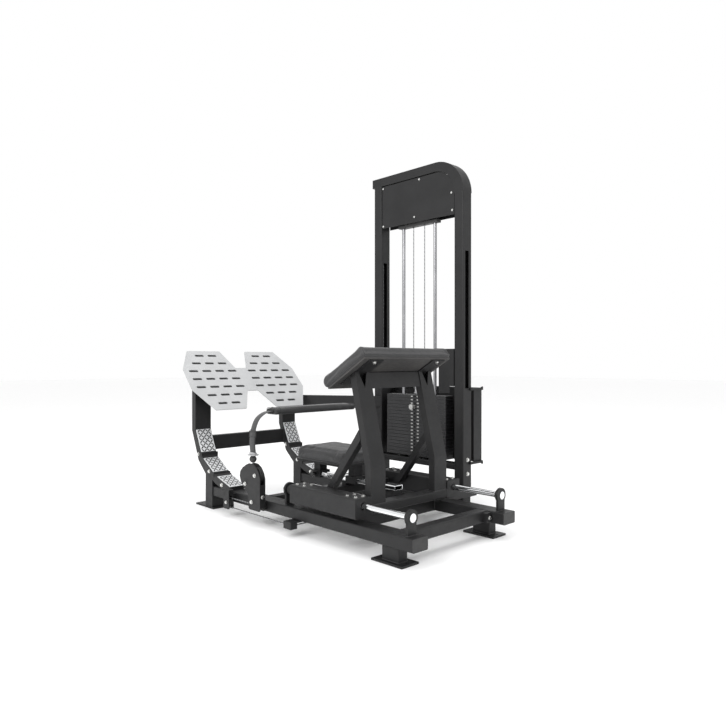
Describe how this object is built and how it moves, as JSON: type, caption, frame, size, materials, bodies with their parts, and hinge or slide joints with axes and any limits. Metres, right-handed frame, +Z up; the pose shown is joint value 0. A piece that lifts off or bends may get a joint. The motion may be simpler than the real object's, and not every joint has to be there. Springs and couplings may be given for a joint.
{
  "type": "leg press machine",
  "caption": "Gym leg press and hip thrust machine with a sliding padded carriage, angled foot plate, hip belt and a weight tower.",
  "frame": {"origin": "on the floor below the centre of the whole machine's box", "axes": "+X along the rails towards their open end, +Y towards the weight tower, +Z up"},
  "size_m": [2.044, 1.3729, 2.17],
  "materials": {
    "frame_paint": "fine textured powder coat, satin",
    "light_paint": "satin light grey powder coat",
    "tread_metal": "raised tread pattern, bright",
    "chrome": "polished",
    "weight_iron": "black enamel",
    "steel": "turned",
    "cable_steel": "stranded cable",
    "black_plastic": "moulded",
    "rubber": "matte",
    "vinyl": "grained vinyl upholstery",
    "webbing": "woven webbing",
    "board": "painted plywood",
    "zinc": "zinc plated",
    "knob_plastic": "gloss"
  },
  "bodies": {
    "root": {"near_rail": "frame_paint", "far_rail": "frame_paint", "cross_beams": "frame_paint", "tower_base": "frame_paint", "feet": "frame_paint", "near_foot_frame": "frame_paint", "far_foot_frame": "frame_paint", "foot_cross_beams": "frame_paint", "diagonal_brace": "frame_paint", "rod_brackets": "frame_paint", "left_upright": "frame_paint", "right_upright": "frame_paint", "top_arch": "frame_paint", "header_covers": "frame_paint", "stack_beam": "frame_paint", "rear_guard": "frame_paint", "side_panel": "frame_paint", "pulley_housings": "frame_paint", "cable_brackets": "frame_paint", "foot_plate_backing": "frame_paint", "foot_plate": "light_paint", "tread_plates": "tread_metal", "guide_rods": "chrome", "stack_guide_rods": "chrome", "fixed_weight_plates": "weight_iron", "stack_cable": "cable_steel", "header_cable": "cable_steel", "belt_cables": "cable_steel", "end_caps": "black_plastic", "rod_holder": "black_plastic", "foot_pads": "rubber", "rubber_bumpers": "rubber", "frame_bolts": "zinc"},
    "carriage": {"bearing_boxes": "frame_paint", "linear_bearings": "steel", "carriage_beams": "frame_paint", "carriage_posts": "frame_paint", "carriage_braces": "frame_paint", "pad_board": "board", "pad_frame": "frame_paint", "back_pad": "vinyl", "seat_rail": "chrome", "carriage_bolts": "zinc"},
    "seat": {"seat_frame": "frame_paint", "seat_pad": "vinyl"},
    "seat_pin": {"seat_pop_pin": "knob_plastic"},
    "hip_belt": {"hip_belt_pad": "vinyl", "belt_straps": "webbing", "ball_stoppers": "black_plastic", "belt_fittings": "steel"},
    "belt_wheels": {"belt_pulleys": "black_plastic"},
    "low_wheel": {"low_pulley": "black_plastic"},
    "lifted_stack": {"lifted_weight_plates": "weight_iron", "selector_stem": "steel", "pulley_yoke": "steel", "cable_loop": "cable_steel"},
    "floating_wheel": {"floating_pulley": "black_plastic"},
    "top_wheel": {"top_pulley": "black_plastic"},
    "turn_wheel": {"turn_pulley": "black_plastic"},
    "selector": {"selector_pin": "zinc"}
  },
  "joints": [
    {"name": "carriage_slide", "type": "slide", "parent": "root", "child": "carriage", "axis": [1, 0, 0], "range_m": [0, 0.24]},
    {"name": "stack_lift", "type": "slide", "parent": "root", "child": "lifted_stack", "axis": [0, 0, 1], "range_m": [0, 0.12], "deforming": ["stack_cable"]},
    {"name": "selector_pull", "type": "slide", "parent": "lifted_stack", "child": "selector", "axis": [0, -1, 0], "range_m": [0, 0.06]},
    {"name": "seat_slide", "type": "slide", "parent": "carriage", "child": "seat", "axis": [1, 0, 0], "range_m": [0, 0.125]},
    {"name": "seat_pin_pull", "type": "slide", "parent": "seat", "child": "seat_pin", "axis": [0, -1, 0], "range_m": [0, 0.012], "stiffness_N_per_m": 900, "springref_m": -0.002},
    {"name": "belt_lift", "type": "slide", "parent": "root", "child": "hip_belt", "axis": [0, 0, 1], "range_m": [0, 0.17]},
    {"name": "belt_wheel_spin", "type": "hinge", "parent": "root", "child": "belt_wheels", "pos_m": [-0.087, -0.228, 0.276], "axis": [0, 1, 0], "range_deg": [0, 233]},
    {"name": "low_wheel_spin", "type": "hinge", "parent": "root", "child": "low_wheel", "pos_m": [-0.38, -0.652, 0.084], "axis": [0, 1, 0], "range_deg": [0, 363]},
    {"name": "floating_wheel_spin", "type": "hinge", "parent": "lifted_stack", "child": "floating_wheel", "pos_m": [0.043, 0.541, 0.757], "axis": [0, 1, 0], "range_deg": [0, 145]},
    {"name": "top_wheel_spin", "type": "hinge", "parent": "root", "child": "top_wheel", "pos_m": [-0.053, 0.541, 1.965], "axis": [0, 1, 0], "range_deg": [-289, 0]},
    {"name": "turn_wheel_spin", "type": "hinge", "parent": "root", "child": "turn_wheel", "pos_m": [-0.251, 0.541, 1.976], "axis": [0, 1, 0], "range_deg": [-374, 0]}
  ],
  "couplings": [
    {"joint": "stack_lift", "follows": "carriage_slide", "ratio": 0.5},
    {"joint": "floating_wheel_spin", "follows": "carriage_slide", "rad_per_m": 10.417},
    {"joint": "top_wheel_spin", "follows": "carriage_slide", "rad_per_m": -20.833},
    {"joint": "turn_wheel_spin", "follows": "carriage_slide", "rad_per_m": -27.027},
    {"joint": "belt_wheel_spin", "follows": "belt_lift", "rad_per_m": 23.809},
    {"joint": "low_wheel_spin", "follows": "belt_lift", "rad_per_m": 37.037}
  ]
}
